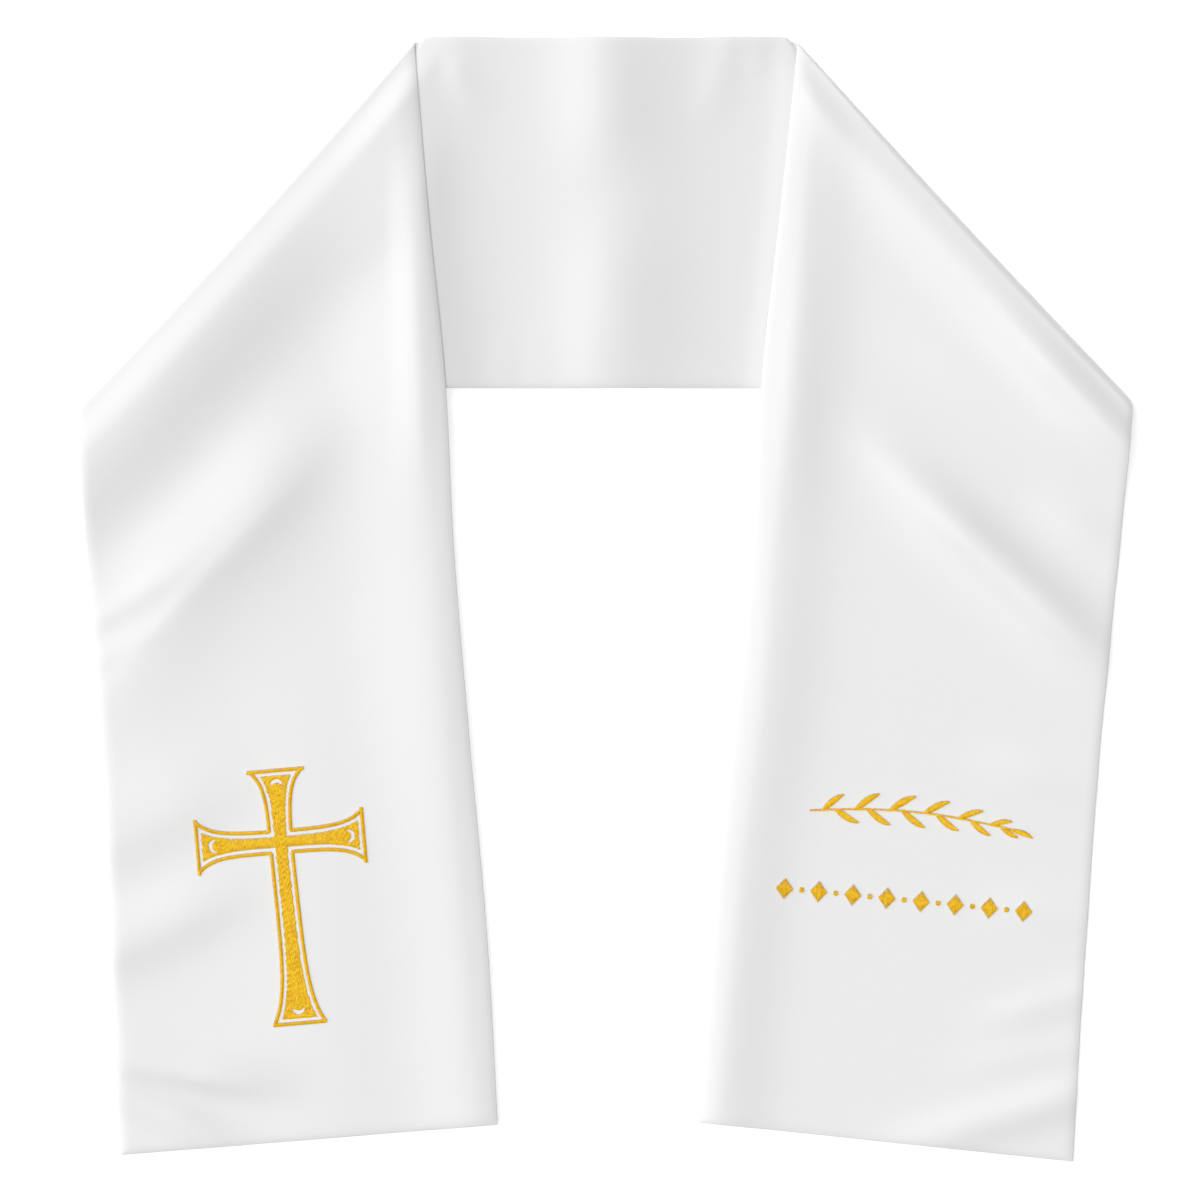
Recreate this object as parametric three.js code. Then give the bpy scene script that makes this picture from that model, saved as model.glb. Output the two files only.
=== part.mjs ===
// Baptism stole laid flat: one satin strip, turned over at two diagonal folds, with a gold cross.
// Millimetres, +Z up. +X is the viewer's right, +Y runs from the hems to the neck stretch,
// and the origin is on the surface, under the middle of the stole's box.
import * as THREE from "three";
import { mergeVertices } from "three/addons/utils/BufferGeometryUtils.js";

// Cloth and clearances
const wall = 1.5; // satin, interlining and lining, bagged out and pressed
const seamGap = 0.35; // between two stretches of the strip, end to end
const layGap = 0.4; // between two layers that lie on each other

// Neck stretch
const neckTop = 219; // height of its upper edge over the origin
const neckShoulder = { x: 58, run: 18, rise: 0.7, share: 0.08 }; // the upper edge is highest by the folds
const neckBottom = 82.3; // lower edge between the fronts
const neckHiddenDrop = 6.2; // the lower edge runs lower towards the folds, under the fronts
const neckVisibleHalf = 62;
const neckFallRun = 140; // over which the hidden lower edge comes down
const creaseFade = 16; // over which a crease of the neck stretch fades out under a front
const neckColumns = 24;

// Fronts
const acrossCells = 18; // across the strip, the neck stretch too
const underRows = 2; // from the hidden seam to the turn
const turnRows = 9; // round the turn
const bodyRows = 36; // from the turn to the hem
const tuckRun = 10; // how far the under layer of a turn runs in before its seam
const tuckStart = 0.2; // share of the fold over which the tuck deepens from nothing at the apex
const puffRun = 26; // how far a turn's puff takes to settle on what is under it
const creaseStart = 12; // creases begin this far beyond the turn
const dropStart = 1; // a front stays up until it is this far past the neck stretch's lower edge
const dropRun = 13; // and then takes this far to come down to the surface

// Radius of a turn from the neck's upper edge (at 0) to its lower edge (at 1)
const turnSections = [
  { at: 0, radius: 1.9 },
  { at: 0.14, radius: 2.9 },
  { at: 0.4, radius: 4.1 },
  { at: 0.75, radius: 4.5 },
  { at: 1, radius: 3.8 },
];

// A crease is a soft ridge from one place to another. bow bends it sideways, width is where it has
// fallen to about a third, and height is how far it stands over the laid cloth.
const creaseTaper = 0.7; // below 1, a crease keeps its height nearer to its ends
const neckCreases = [
  { x0: -14, y0: 208, x1: -8, y1: 88, bow: 3, width: 9, height: 2.2 },
  { x0: 62, y0: 232, x1: 40, y1: 150, bow: 6, width: 8, height: 1.8 },
  { x0: 41, y0: 228, x1: 34, y1: 178, bow: 2, width: 7, height: 1.2 },
  { x0: -70, y0: 224, x1: -46, y1: 176, bow: 4, width: 6, height: 1.3 },
  { x0: -27, y0: 76, x1: -16, y1: 100, bow: 2, width: 5, height: 1.2 },
];

const fronts = [
  {
    name: "left_front_panel",
    side: -1,
    apex: { x: -74.1, y: 217.4 }, // where the upper edge turns over the fold
    foldAngle: 47.1, // fold line to the horizontal
    foldLength: 192,
    foldBow: 0.7,
    hemInner: { x: -41.5, y: -204.6 },
    hemOuter: { x: -188.6, y: -216.6 },
    // Sideways sway of the two edges, towards the middle, at places down the front
    edgeSections: [
      { at: 0.15, inner: 0.5, outer: 0.3 },
      { at: 0.32, inner: 2.0, outer: 1.5 },
      { at: 0.46, inner: 0.3, outer: 2.2 },
      { at: 0.64, inner: 0.6, outer: 1.7 },
      { at: 0.83, inner: 1.5, outer: 0.5 },
    ],
    creases: [
      { x0: -108, y0: 62, x1: -222, y1: -1, bow: 4, width: 9, height: 3.2 },
      { x0: -106, y0: 64, x1: -218, y1: -50, bow: -7, width: 9, height: 3.6 },
      { x0: -152, y0: -126, x1: -206, y1: -110, bow: -3, width: 8, height: 2.2 },
      { x0: -150, y0: -150, x1: -208, y1: -118, bow: 5, width: 9, height: 1.8 },
      { x0: -150, y0: -214, x1: -208, y1: -178, bow: 5, width: 8, height: 3.2 },
      { x0: -77, y0: 214, x1: -76, y1: 120, bow: 3, width: 7, height: 2.2 },
      { x0: -72, y0: 128, x1: -69, y1: -10, bow: 3, width: 8, height: 1.6 },
      { x0: -68, y0: -20, x1: -56, y1: -186, bow: -2, width: 8, height: 2.2 },
      { x0: -136, y0: 112, x1: -188, y1: 68, bow: 3, width: 12, height: 1.6 },
    ],
  },
  {
    name: "right_front_panel",
    side: 1,
    apex: { x: 75.2, y: 217.4 },
    foldAngle: 47.05,
    foldLength: 190.5,
    foldBow: 0.9,
    hemInner: { x: 36.5, y: -203.8 },
    hemOuter: { x: 182.7, y: -219.2 },
    edgeSections: [
      { at: 0.15, inner: 0.9, outer: 0.4 },
      { at: 0.31, inner: 2.1, outer: 1.4 },
      { at: 0.46, inner: 0.1, outer: 2.1 },
      { at: 0.65, inner: 0.8, outer: 1.8 },
      { at: 0.83, inner: 1.3, outer: 1.2 },
    ],
    creases: [
      { x0: 96, y0: 64, x1: 214, y1: -34, bow: -8, width: 9, height: 3.8 },
      { x0: 168, y0: 34, x1: 216, y1: 2, bow: 3, width: 9, height: 1.8 },
      { x0: 152, y0: -172, x1: 202, y1: -146, bow: 3, width: 8, height: 2.0 },
      { x0: 124, y0: -214, x1: 200, y1: -178, bow: -4, width: 8, height: 3.2 },
      { x0: 77, y0: 214, x1: 75, y1: 110, bow: -3, width: 7, height: 2.4 },
      { x0: 72, y0: 118, x1: 64, y1: -20, bow: -3, width: 8, height: 1.8 },
      { x0: 62, y0: -30, x1: 48, y1: -188, bow: 2, width: 8, height: 1.6 },
      { x0: 108, y0: 146, x1: 186, y1: 74, bow: -4, width: 11, height: 1.9 },
    ],
  },
];

// Cross: half widths and reaches are of the satin-stitch outline's outer edge, from the crossing
const cross = {
  x: -126.2,
  y: -94.3,
  tilt: 5, // it leans with the left front
  armHalf: 4.8,
  outlineWidth: 1.35,
  fillInset: 2.8, // the outline and the bare strip of ground inside it
  rise: 0.9,
  edgeRise: 0.35, // at the edge of the stitches, where they go into the cloth
  stations: 8,
  crowding: 1.6, // above 1, stations lie closer together towards an arm's end
};
const arms = [
  { name: "foot", turn: 0, reach: 71.7, endHalf: 11.2, flare: 10, lean: 0.02 },
  { name: "right", turn: 90, reach: 33, endHalf: 11.5, flare: 5.6, lean: 0 },
  { name: "head", turn: 180, reach: 28.5, endHalf: 11.9, flare: 5.6, lean: -0.007 },
  { name: "left", turn: 270, reach: 33.3, endHalf: 11.5, flare: 5.4, lean: -0.02 },
];

const satin = { color: 0xf4f4f5, roughness: 0.42, metalness: 0 };
const goldThread = { color: 0xf0b323, roughness: 0.38, metalness: 0 };

const radians = THREE.MathUtils.degToRad;
const mix = THREE.MathUtils.lerp;
const clamp = THREE.MathUtils.clamp;
const ease = (s) => THREE.MathUtils.smoothstep(s, 0, 1);

// Reads one column of a table of sections at a place, on a smooth curve through its rows.
function readColumn(sections, at, column) {
  const places = sections.map((row) => row.at);
  const values = sections.map((row) => row[column]);
  return new THREE.CubicInterpolant(places, values, 1, [0]).evaluate(at)[0];
}

// Height of all creases of a list at a place. Each is a bell across and tapers off at its ends.
function creaseHeight(creases, x, y) {
  let height = 0;
  for (const crease of creases) {
    const run = new THREE.Vector2(crease.x1 - crease.x0, crease.y1 - crease.y0);
    const offset = new THREE.Vector2(x - crease.x0, y - crease.y0);
    const along = offset.dot(run) / run.lengthSq();
    if (along <= 0 || along >= 1) continue;
    const across = run.cross(offset) / run.length() - crease.bow * Math.sin(Math.PI * along);
    const taper = Math.sin(Math.PI * along) ** creaseTaper;
    height += crease.height * taper * Math.exp(-((across / crease.width) ** 2));
  }
  return height;
}

// Lower edge of the neck stretch, level between the fronts and lower under them.
function neckLowerEdge(x) {
  return neckBottom - neckHiddenDrop * ease((Math.abs(x) - neckVisibleHalf) / neckFallRun);
}

// What a front lies on: the neck stretch above its lower edge, the surface below it.
function supportHeight(x, y) {
  const below = (neckLowerEdge(x) - dropStart - y) / dropRun;
  const onNeck = 1 - ease(below);
  return onNeck * (wall + layGap + creaseHeight(neckCreases, x, y));
}

// The fold line's own directions: along it from apex to corner, and inward over the cloth.
// slant is how far the strip's edge moves along the fold for each millimetre across it.
function foldFrame(front) {
  const turn = radians(front.foldAngle);
  return {
    along: new THREE.Vector2(front.side * Math.cos(turn), -Math.sin(turn)),
    inward: new THREE.Vector2(-front.side * Math.sin(turn), -Math.cos(turn)),
    slant: 1 / Math.tan(turn),
  };
}

// A point of the cloth's middle surface from its distances along and inward of the fold line.
function fromFold(front, along, inward, z) {
  const frame = foldFrame(front);
  return new THREE.Vector3(
    front.apex.x + frame.along.x * along + frame.inward.x * inward,
    front.apex.y + frame.along.y * along + frame.inward.y * inward,
    z,
  );
}

// Round the turn: angle runs from -90 degrees under it to 90 degrees on top.
function turnPoint(front, across, angle) {
  const radius = readColumn(turnSections, across, "radius");
  const along = across * front.foldLength + foldFrame(front).slant * radius * angle;
  const bow = front.foldBow * Math.sin(Math.PI * across);
  const inward = bow + wall / 2 + radius * (1 - Math.cos(angle));
  return fromFold(front, along, inward, wall / 2 + radius * (1 + Math.sin(angle)));
}

// Under the turn, flat on the surface, as far in as the hidden seam; gap moves on past the seam.
function underPoint(front, across, share, gap = 0) {
  const radius = readColumn(turnSections, across, "radius");
  const run = tuckRun * ease(across / tuckStart) * share + gap;
  const along = across * front.foldLength - foldFrame(front).slant * ((radius * Math.PI) / 2 + run);
  const bow = front.foldBow * Math.sin(Math.PI * across);
  return fromFold(front, along, bow + wall / 2 + radius + run, wall / 2);
}

// An edge of a front from the turn to the hem, swayed from the straight line.
function edgePoint(front, column, start, hem, down) {
  const sections = [{ at: 0, [column]: 0 }, ...front.edgeSections, { at: 1, [column]: 0 }];
  const sway = readColumn(sections, down, column);
  return new THREE.Vector2(mix(start.x, hem.x, down) - front.side * sway, mix(start.y, hem.y, down));
}

// Height of a front's middle surface: its support, the puff beside the turn, and the creases.
function frontHeight(front, x, y) {
  const frame = foldFrame(front);
  const offset = new THREE.Vector2(x - front.apex.x, y - front.apex.y);
  const inward = offset.dot(frame.inward);
  const across = clamp((offset.dot(frame.along) - frame.slant * inward) / front.foldLength, 0, 1);
  const radius = readColumn(turnSections, across, "radius");
  const bow = front.foldBow * Math.sin(Math.PI * across);
  const beyond = Math.max(0, inward - bow - wall / 2 - radius);
  const support = supportHeight(x, y);
  const puff = (2 * radius - support) * (1 - ease(beyond / puffRun));
  const creases = creaseHeight(front.creases, x, y) * ease(beyond / creaseStart);
  return wall / 2 + support + puff + creases;
}

// Below the turn the rows of a front swing round from the fold's slant to the hem's.
function bodyPoint(front, across, down) {
  const [innerStart, outerStart] = [turnPoint(front, 0, Math.PI / 2), turnPoint(front, 1, Math.PI / 2)];
  const start = turnPoint(front, across, Math.PI / 2);
  const inner = edgePoint(front, "inner", innerStart, front.hemInner, down);
  const outer = edgePoint(front, "outer", outerStart, front.hemOuter, down);
  const swing = (1 - down) ** 2;
  const x = mix(inner.x, outer.x, across) + swing * (start.x - mix(innerStart.x, outerStart.x, across));
  const y = mix(inner.y, outer.y, across) + swing * (start.y - mix(innerStart.y, outerStart.y, across));
  return new THREE.Vector3(x, y, frontHeight(front, x, y));
}

// A closed wall around a grid of points on its middle surface.
function wallGeometry(grid) {
  const [rows, columns] = [grid.length, grid[0].length];
  const at = (i, j) => grid[clamp(i, 0, rows - 1)][clamp(j, 0, columns - 1)];
  const positions = [];
  for (const face of [1, -1]) {
    for (let i = 0; i < rows; i++) {
      for (let j = 0; j < columns; j++) {
        const down = at(i + 1, j).clone().sub(at(i - 1, j));
        const over = at(i, j + 1).clone().sub(at(i, j - 1));
        const normal = over.cross(down).normalize();
        positions.push(...at(i, j).clone().addScaledVector(normal, (face * wall) / 2).toArray());
      }
    }
  }
  const index = [];
  const quad = (a, b, c, d) => index.push(a, b, c, a, c, d);
  const front = (i, j) => i * columns + j;
  const back = (i, j) => rows * columns + front(i, j);
  for (let i = 0; i < rows - 1; i++) {
    for (let j = 0; j < columns - 1; j++) {
      const shortAC = at(i, j).distanceTo(at(i + 1, j + 1)) < at(i + 1, j).distanceTo(at(i, j + 1));
      const corners = shortAC
        ? [[i, j], [i + 1, j], [i + 1, j + 1], [i, j + 1]]
        : [[i + 1, j], [i + 1, j + 1], [i, j + 1], [i, j]];
      quad(...corners.map((corner) => back(...corner)));
      quad(...corners.map((corner) => front(...corner)).reverse().map((v, k, all) => all[(k + 1) % 4]));
    }
  }
  for (let i = 0; i < rows - 1; i++) {
    quad(front(i, 0), front(i + 1, 0), back(i + 1, 0), back(i, 0));
    quad(front(i + 1, columns - 1), front(i, columns - 1), back(i, columns - 1), back(i + 1, columns - 1));
  }
  for (let j = 0; j < columns - 1; j++) {
    quad(front(0, j + 1), front(0, j), back(0, j), back(0, j + 1));
    quad(front(rows - 1, j), front(rows - 1, j + 1), back(rows - 1, j + 1), back(rows - 1, j));
  }
  return facingOut(positions, index);
}

// The sum over the triangles is six times the enclosed volume; where it is negative the faces
// point in, and are turned round.
function facingOut(positions, index) {
  const corner = (k) => new THREE.Vector3().fromArray(positions, index[k] * 3);
  let sixVolumes = 0;
  for (let k = 0; k < index.length; k += 3) {
    sixVolumes += corner(k).dot(corner(k + 1).cross(corner(k + 2)));
  }
  if (sixVolumes < 0) index.reverse();
  const geometry = new THREE.BufferGeometry();
  geometry.setAttribute("position", new THREE.Float32BufferAttribute(positions, 3));
  geometry.setIndex(index);
  return mergeVertices(geometry, 1e-4);
}

function steps(count) {
  return Array.from({ length: count + 1 }, (_, k) => k / count);
}

function frontGeometry(front) {
  const across = steps(acrossCells);
  const grid = [];
  for (let k = 0; k < underRows; k++) {
    grid.push(across.map((u) => underPoint(front, u, 1 - k / underRows)));
  }
  for (const share of steps(turnRows)) {
    grid.push(across.map((u) => turnPoint(front, u, (share - 0.5) * Math.PI)));
  }
  for (const down of steps(bodyRows).slice(1)) {
    grid.push(across.map((u) => bodyPoint(front, u, down)));
  }
  return wallGeometry(grid);
}

// The neck stretch runs from one hidden seam to the other. Its edges leave the seams' ends and
// soon reach their own levels, and its creases fade out before they go under the fronts.
function neckGeometry() {
  const grid = steps(acrossCells).map((share) => {
    const [start, end] = fronts.map((front) => underPoint(front, share, 1, seamGap));
    return steps(neckColumns).map((over) => {
      const x = mix(start.x, end.x, over);
      const fromShoulder = (Math.abs(x) - neckShoulder.x) / neckShoulder.run;
      const upperEdge = neckTop + neckShoulder.rise * Math.exp(-(fromShoulder ** 2));
      const inside = ease(Math.min(over, 1 - over) / neckShoulder.share);
      const y = mix(mix(start.y, end.y, over), mix(upperEdge, neckLowerEdge(x), share), inside);
      const open = ease((neckVisibleHalf + creaseFade - Math.abs(x)) / creaseFade);
      return new THREE.Vector3(x, y, wall / 2 + open * creaseHeight(neckCreases, x, y));
    });
  });
  return wallGeometry(grid);
}

// Half width of an arm's outline at a distance out from the crossing: it flares to its end.
function armHalfWidth(arm, out) {
  return cross.armHalf + (arm.endHalf - cross.armHalf) * Math.exp((out - arm.reach) / arm.flare);
}

// The same, moved in square to the curve by an inset.
function insetHalfWidth(arm, out, inset) {
  const slope = (armHalfWidth(arm, out) - cross.armHalf) / arm.flare;
  return armHalfWidth(arm, out) - inset * Math.hypot(1, slope);
}

// Sections of an arm from the crossing's corner to its end, closer together towards the flare.
function armSections(arm, inset) {
  const corner = cross.armHalf - inset;
  const sections = steps(cross.stations).map((s) => {
    const out = mix(corner, arm.reach - inset, 1 - (1 - s) ** cross.crowding);
    return { out, half: Math.max(insetHalfWidth(arm, out, inset), corner) };
  });
  sections[0].half = corner;
  return sections;
}

// From the cross's own axes to a point over the left front.
function onCross(arm, out, over, lift) {
  const turn = radians(cross.tilt + arm.turn);
  const side = over + arm.lean * Math.max(0, out - cross.armHalf);
  const x = cross.x + out * Math.sin(turn) + side * Math.cos(turn);
  const y = cross.y - out * Math.cos(turn) + side * Math.sin(turn);
  return new THREE.Vector3(x, y, frontHeight(fronts[0], x, y) + wall / 2 + layGap + lift);
}

// One closed loop round the cross at an inset from its outer edge.
function crossLoop(inset, lift) {
  const loop = [];
  for (const arm of arms) {
    const sections = armSections(arm, inset);
    for (const { out, half } of sections.slice(1)) loop.push(onCross(arm, out, -half, lift));
    for (const { out, half } of sections.toReversed()) loop.push(onCross(arm, out, half, lift));
  }
  return loop;
}

// The satin-stitch outline is a low rounded band that closes on itself.
function outlineGeometry() {
  const width = cross.outlineWidth;
  const section = [
    { inset: 0, lift: 0 },
    { inset: 0, lift: cross.edgeRise },
    { inset: width / 2, lift: cross.rise },
    { inset: width, lift: cross.edgeRise },
    { inset: width, lift: 0 },
  ];
  const loops = section.map((row) => crossLoop(row.inset, row.lift));
  const length = loops[0].length;
  const index = [];
  for (let ring = 0; ring < loops.length; ring++) {
    const next = (ring + 1) % loops.length;
    for (let k = 0; k < length; k++) {
      const [a, b] = [ring * length + k, ring * length + ((k + 1) % length)];
      const [c, d] = [next * length + ((k + 1) % length), next * length + k];
      index.push(a, b, c, a, c, d);
    }
  }
  return facingOut(loops.flat().flatMap((point) => point.toArray()), index);
}

// The filled inside: rows of points over each arm and a square of them at the crossing.
function fillGeometry() {
  const spread = [-1, -0.8, 0, 0.8, 1]; // places across an arm, in half widths
  const isEdge = (share) => Math.abs(share) === 1;
  const core = cross.armHalf - cross.fillInset;
  const tops = [];
  const bottoms = [];
  const addPatch = (arm, sections, liftOf) => {
    for (let i = 0; i < sections.length - 1; i++) {
      for (let j = 0; j < spread.length - 1; j++) {
        const corners = [[i, j], [i + 1, j], [i + 1, j + 1], [i, j + 1]];
        const place = ([r, c], lift) => onCross(arm, sections[r].out, sections[r].half * spread[c], lift);
        tops.push(corners.map((corner) => place(corner, liftOf(...corner))));
        bottoms.push(corners.map((corner) => place(corner, 0)).reverse());
      }
    }
  };
  for (const arm of arms) {
    const sections = armSections(arm, cross.fillInset);
    const atEdge = (i, j) => i === sections.length - 1 || isEdge(spread[j]);
    addPatch(arm, sections, (i, j) => (atEdge(i, j) ? cross.edgeRise : cross.rise));
  }
  const square = spread.map((share) => ({ out: core * share, half: core }));
  const atCorner = (i, j) => isEdge(spread[i]) && isEdge(spread[j]);
  addPatch(arms[0], square, (i, j) => (atCorner(i, j) ? cross.edgeRise : cross.rise));
  return closeSheets(tops, bottoms);
}

// Joins two sheets of quads by walls along the edges that only one quad of the top has.
function closeSheets(tops, bottoms) {
  const key = (point) => point.toArray().slice(0, 2).map((value) => value.toFixed(3)).join(" ");
  const open = new Map();
  for (const quad of tops) {
    quad.forEach((from, k) => {
      const to = quad[(k + 1) % 4];
      if (!open.delete(key(to) + "|" + key(from))) open.set(key(from) + "|" + key(to), [from, to]);
    });
  }
  const floor = new Map(bottoms.flat().map((point) => [key(point), point]));
  const walls = [...open.values()].map(([from, to]) => [to, from, floor.get(key(from)), floor.get(key(to))]);
  const positions = [];
  for (const [a, b, c, d] of [...tops, ...bottoms, ...walls]) {
    positions.push(...[a, b, c, a, c, d].flatMap((point) => point.toArray()));
  }
  return facingOut(positions, positions.slice(0, positions.length / 3).map((_, k) => k));
}

function addPiece(group, name, geometry, finish) {
  const mesh = new THREE.Mesh(geometry, new THREE.MeshStandardMaterial(finish));
  mesh.name = name;
  group.add(mesh);
}

const stole = new THREE.Group();
addPiece(stole, "neck_band", neckGeometry(), satin);
for (const front of fronts) {
  addPiece(stole, front.name, frontGeometry(front), satin);
}
addPiece(stole, "cross_outline", outlineGeometry(), goldThread);
addPiece(stole, "cross_fill", fillGeometry(), goldThread);

export default stole;
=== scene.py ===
import math
import random

import bmesh
import bpy
import numpy as np
from mathutils import Matrix, Vector


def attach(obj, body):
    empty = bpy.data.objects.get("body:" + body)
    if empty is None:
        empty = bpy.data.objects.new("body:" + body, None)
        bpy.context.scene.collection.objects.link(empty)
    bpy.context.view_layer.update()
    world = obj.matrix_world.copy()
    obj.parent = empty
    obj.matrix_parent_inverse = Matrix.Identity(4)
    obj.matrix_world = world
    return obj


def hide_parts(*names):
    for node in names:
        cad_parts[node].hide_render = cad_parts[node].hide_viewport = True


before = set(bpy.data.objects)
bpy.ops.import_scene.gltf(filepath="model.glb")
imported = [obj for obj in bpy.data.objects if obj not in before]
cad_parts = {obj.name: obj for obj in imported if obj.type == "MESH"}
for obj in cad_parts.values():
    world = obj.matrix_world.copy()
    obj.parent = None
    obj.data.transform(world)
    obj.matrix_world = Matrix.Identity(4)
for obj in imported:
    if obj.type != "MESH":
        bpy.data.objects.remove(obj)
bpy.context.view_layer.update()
mm = 0.001
scene = bpy.context.scene


# Camera, floor and light

camera = {
    "viewWidth": 468.0,  # mm of surface across the picture
    "centre": (-1.8, -0.2),  # mm, what the middle of the picture looks at
    "height": 2.6,  # m, far enough that the cloth looks as flat as it lies
    "sensor": 36.0,  # mm
    "clipEnd": 20.0,  # m
}
studio = {
    "floorSize": 8.0,  # m
    "floorColour": "#FAFAF9",
    "floorGlow": 0.34,  # the table is lit from below, so no shadow shows beside the cloth
    "floorDrop": 0.2,  # mm under the cloth
    "floorRoughness": 0.95,
    "floorSpecular": 0.1,
    "skyColour": "#FFFFFF",
    "skyStrength": 0.16,
    "keyFrom": (-1.0, 0.28, 0.93),  # a wide softbox low on the left, a little from the top
    "keyAngle": 84.0,  # degrees it spans
    "keyStrength": 2.46,
    "overheadFrom": (0.05, 0.1, 1.0),
    "overheadAngle": 95.0,
    "overheadStrength": 1.07,
}


def linearColour(hexColour, alpha=1.0):
    channels = [int(hexColour[k:k + 2], 16) / 255 for k in (1, 3, 5)]
    linear = [c / 12.92 if c <= 0.04045 else ((c + 0.055) / 1.055) ** 2.4 for c in channels]
    return (*linear, alpha)


def addNode(tree, kind, settings=None, inputs=None):
    # inputs gives each socket a value, or the socket of another node to link from
    node = tree.nodes.new(kind)
    for name, value in (settings or {}).items():
        setattr(node, name, value)
    for name, value in (inputs or {}).items():
        if isinstance(value, bpy.types.NodeSocket):
            tree.links.new(value, node.inputs[name])
        else:
            node.inputs[name].default_value = value
    return node


def newMaterial(name):
    material = bpy.data.materials.new(name)
    material.use_nodes = True
    material.node_tree.nodes.clear()
    return material, material.node_tree


def finishMaterial(tree, shader):
    addNode(tree, "ShaderNodeOutputMaterial", inputs={"Surface": shader.outputs[0]})


def makeCamera():
    data = bpy.data.cameras.new("photoCamera")
    data.sensor_width = camera["sensor"]
    data.lens = camera["sensor"] * camera["height"] / (camera["viewWidth"] * mm)
    data.clip_end = camera["clipEnd"]
    obj = bpy.data.objects.new("photoCamera", data)
    obj.location = (camera["centre"][0] * mm, camera["centre"][1] * mm, camera["height"])
    scene.collection.objects.link(obj)
    scene.camera = obj


def tableMaterial():
    # opal acrylic light table: even white, with no gloss of its own
    material, tree = newMaterial("opalLightTable")
    finishMaterial(tree, addNode(tree, "ShaderNodeBsdfPrincipled", inputs={
        "Base Color": linearColour(studio["floorColour"]), "Roughness": studio["floorRoughness"],
        "Specular IOR Level": studio["floorSpecular"], "Emission Color": (1, 1, 1, 1),
        "Emission Strength": studio["floorGlow"]}))
    return material


def makeFloor():
    bm = bmesh.new()
    bmesh.ops.create_grid(bm, x_segments=1, y_segments=1, size=studio["floorSize"] / 2)
    bmesh.ops.translate(bm, verts=bm.verts, vec=(0, 0, -studio["floorDrop"] * mm))
    mesh = bpy.data.meshes.new("tableTop")
    bm.to_mesh(mesh)
    bm.free()
    mesh.materials.append(tableMaterial())
    obj = bpy.data.objects.new("tableTop", mesh)
    scene.collection.objects.link(obj)
    return obj


def makeSoftbox(name):
    # far and wide, so that it lights the whole cloth alike
    data = bpy.data.lights.new(name, "SUN")
    data.angle = math.radians(studio[name + "Angle"])
    data.energy = studio[name + "Strength"]
    obj = bpy.data.objects.new(name, data)
    obj.rotation_euler = Vector(studio[name + "From"]).to_track_quat("Z", "Y").to_euler()
    scene.collection.objects.link(obj)


def makeSky():
    world = bpy.data.worlds.new("studioSky")
    scene.world = world
    world.use_nodes = True
    world.node_tree.nodes.clear()
    sky = addNode(world.node_tree, "ShaderNodeBackground", inputs={
        "Color": linearColour(studio["skyColour"]), "Strength": studio["skyStrength"]})
    addNode(world.node_tree, "ShaderNodeOutputWorld", inputs={"Surface": sky.outputs[0]})


makeCamera()
tableTop = makeFloor()
makeSoftbox("key")
makeSoftbox("overhead")
makeSky()
scene.view_settings.view_transform = "Standard"
print("camera, floor and light are set")


# Satin strip: one bagged-out length of cloth, all sizes in mm

strip = {
    "wall": 0.8,  # satin, interlining and lining together
    "edgeRound": 2.4,  # over this the wall thins out to an edge
    "layGap": 0.15,  # between layers that lie on each other
    "settleSoftness": 0.4,  # height over which a trough flattens out
    "edgeRun": 9.0,  # a front's relief grows to its full height over this from its inner edge
    "edgeLeast": 0.88,  # share of its relief that it has at that edge
    "width": 145.0,  # as sewn and pressed, lying flat
    "length": 1000.0,
    "weld": 0.001,  # the two faces of the cloth are joined where they are closer than this
    "columns": 60,  # across the strip, besides those next to its edges
    "edgeSteps": (0.0, 0.12, 0.36, 0.75, 1.4, 2.4),  # places of the rows next to an edge
    "frontRows": 176,
    "turnRows": 16,
    "tuckRows": 5,
    "neckRows": 130,
}
neck = {
    "top": 219.0,  # its upper edge
    "shoulderX": 58.0,  # the upper edge is highest just inside the folds
    "shoulderRun": 18.0,
    "shoulderRise": 0.5,
    "shoulderShare": 0.02,  # share of its length over which it takes its own shape from a fold
    "bottom": 82.3,  # its lower edge
    "hiddenDrop": 6.2,  # the lower edge runs lower under the fronts
    "visibleHalf": 70.0,  # half of what shows between the fronts
    "fallRun": 140.0,  # the lower edge comes down over this
    "creaseFade": 16.0,  # its creases end over this, under the fronts
    "apexRun": 22.0,  # it lies down beside the top of each front
    "loft": 0.8,  # how far it stands off the table where no crease lifts or lowers it
}
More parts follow.
